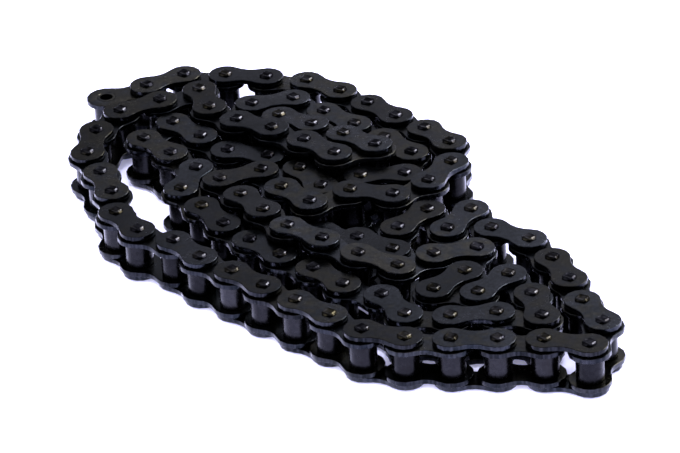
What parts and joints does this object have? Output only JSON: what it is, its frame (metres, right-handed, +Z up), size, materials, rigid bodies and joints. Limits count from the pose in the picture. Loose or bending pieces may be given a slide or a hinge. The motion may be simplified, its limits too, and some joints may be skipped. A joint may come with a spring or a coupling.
{
  "type": "heap of roller chain",
  "caption": "One length of single-strand roller chain lying on its side in a low heap, folded back and forth, with a free end that turns at its pins.",
  "frame": {"origin": "middle of the heap's bounding box, at the floor it lies on", "axes": "+Z up, along the pins; +Y away from the picture's camera, along the heap's longest side; +X to the right in the picture"},
  "size_m": [0.155, 0.1846, 0.0203],
  "materials": {
    "blackened_steel": "blackened, lightly oiled steel with a satin sheen and fine scratches"
  },
  "bodies": {
    "heap": {"link_pair_005_006": "blackened_steel", "link_pair_007_008": "blackened_steel", "link_pair_009_010": "blackened_steel", "link_pair_011_012": "blackened_steel", "link_pair_013_014": "blackened_steel", "link_pair_015_016": "blackened_steel", "link_pair_017_018": "blackened_steel", "link_pair_019_020": "blackened_steel", "link_pair_021_022": "blackened_steel", "link_pair_023_024": "blackened_steel", "link_pair_025_026": "blackened_steel", "link_pair_027_028": "blackened_steel", "link_pair_029_030": "blackened_steel", "link_pair_031_032": "blackened_steel", "link_pair_033_034": "blackened_steel", "link_pair_035_036": "blackened_steel", "link_pair_037_038": "blackened_steel", "link_pair_039_040": "blackened_steel", "link_pair_041_042": "blackened_steel", "link_pair_043_044": "blackened_steel", "link_pair_045_046": "blackened_steel", "link_pair_047_048": "blackened_steel", "link_pair_049_050": "blackened_steel", "link_pair_051_052": "blackened_steel", "link_pair_053_054": "blackened_steel", "link_pair_055_056": "blackened_steel", "link_pair_057_058": "blackened_steel", "link_pair_059_060": "blackened_steel", "link_pair_061_062": "blackened_steel", "link_pair_063_064": "blackened_steel", "link_pair_065_066": "blackened_steel", "link_pair_067_068": "blackened_steel", "link_pair_069_070": "blackened_steel", "link_pair_071_072": "blackened_steel", "link_pair_073_074": "blackened_steel", "link_pair_075_076": "blackened_steel", "link_pair_077_078": "blackened_steel", "link_pair_079_080": "blackened_steel", "link_pair_081_082": "blackened_steel", "link_pair_083_084": "blackened_steel", "link_pair_085_086": "blackened_steel", "link_pair_087_088": "blackened_steel", "link_pair_089_090": "blackened_steel", "link_pair_091_092": "blackened_steel", "link_pair_093_094": "blackened_steel", "link_pair_095_096": "blackened_steel", "link_pair_097_098": "blackened_steel", "link_pair_099_100": "blackened_steel", "link_pair_101_102": "blackened_steel"},
    "free_inner_link_0": {"free_inner_link_0": "blackened_steel"},
    "free_outer_link_1": {"free_outer_link_1": "blackened_steel"},
    "free_inner_link_2": {"free_inner_link_2": "blackened_steel"},
    "free_outer_link_3": {"free_outer_link_3": "blackened_steel"},
    "free_inner_link_4": {"free_inner_link_4": "blackened_steel"}
  },
  "joints": [
    {"name": "pin_1_hinge", "type": "hinge", "parent": "free_outer_link_1", "child": "free_inner_link_0", "pos_m": [-0.05449, 0.0807, 0.00827], "axis": [-0.0007, 0.0014, 1], "range_deg": [-60, 3]},
    {"name": "pin_2_hinge", "type": "hinge", "parent": "free_inner_link_2", "child": "free_outer_link_1", "pos_m": [-0.04317, 0.08646, 0.00827], "axis": [-0.0007, 0.0014, 1], "range_deg": [-60, 2]},
    {"name": "pin_3_hinge", "type": "hinge", "parent": "free_outer_link_3", "child": "free_inner_link_2", "pos_m": [-0.0306, 0.0847, 0.00827], "axis": [0.0008, 0.0036, 1], "range_deg": [-60, 1]},
    {"name": "pin_4_hinge", "type": "hinge", "parent": "free_inner_link_4", "child": "free_outer_link_3", "pos_m": [-0.01822, 0.08184, 0.00827], "axis": [0.0008, 0.0036, 1], "range_deg": [-60, 1]},
    {"name": "pin_5_hinge", "type": "hinge", "parent": "heap", "child": "free_inner_link_4", "pos_m": [-0.00615, 0.07791, 0.00827], "axis": [0.0051, 0.0063, 1], "range_deg": [-60, 0.5]}
  ]
}
